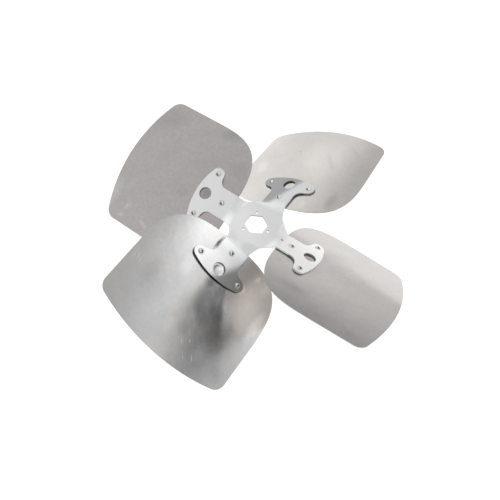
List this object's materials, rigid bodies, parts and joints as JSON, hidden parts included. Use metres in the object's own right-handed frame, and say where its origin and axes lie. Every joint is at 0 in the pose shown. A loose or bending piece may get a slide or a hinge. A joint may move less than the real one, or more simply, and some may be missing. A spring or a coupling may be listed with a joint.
{
  "type": "condenser fan blade",
  "caption": "Axial fan blade for an air-cooled condenser: broad cambered sheet blades riveted behind the twisted arms of a stamped spider with a hexagonal hub seat.",
  "frame": {"origin": "on the fan's axis, at the height of the blades' lowest corners, so that the fan lies face up on a bench", "axes": "+Z along the fan's axis, out of the spider's face; +X out along arm 1, the other arms counter-clockwise"},
  "size_m": [0.5588, 0.5588, 0.1159],
  "materials": {
    "spider_steel": "galvanised sheet, bright, cool grey, fine rolled grain",
    "blade_aluminium": "mill finish sheet, warm grey, faint stains and scratches",
    "rivet_steel": "plated, semi-gloss"
  },
  "bodies": {
    "root": {"spider": "spider_steel", "blade_1": "blade_aluminium", "blade_2": "blade_aluminium", "blade_3": "blade_aluminium", "blade_4": "blade_aluminium", "rivet_1_neck": "rivet_steel", "rivet_1_raised": "rivet_steel", "rivet_1_lowered": "rivet_steel", "rivet_2_neck": "rivet_steel", "rivet_2_raised": "rivet_steel", "rivet_2_lowered": "rivet_steel", "rivet_3_neck": "rivet_steel", "rivet_3_raised": "rivet_steel", "rivet_3_lowered": "rivet_steel", "rivet_4_neck": "rivet_steel", "rivet_4_raised": "rivet_steel", "rivet_4_lowered": "rivet_steel"}
  },
  "joints": []
}
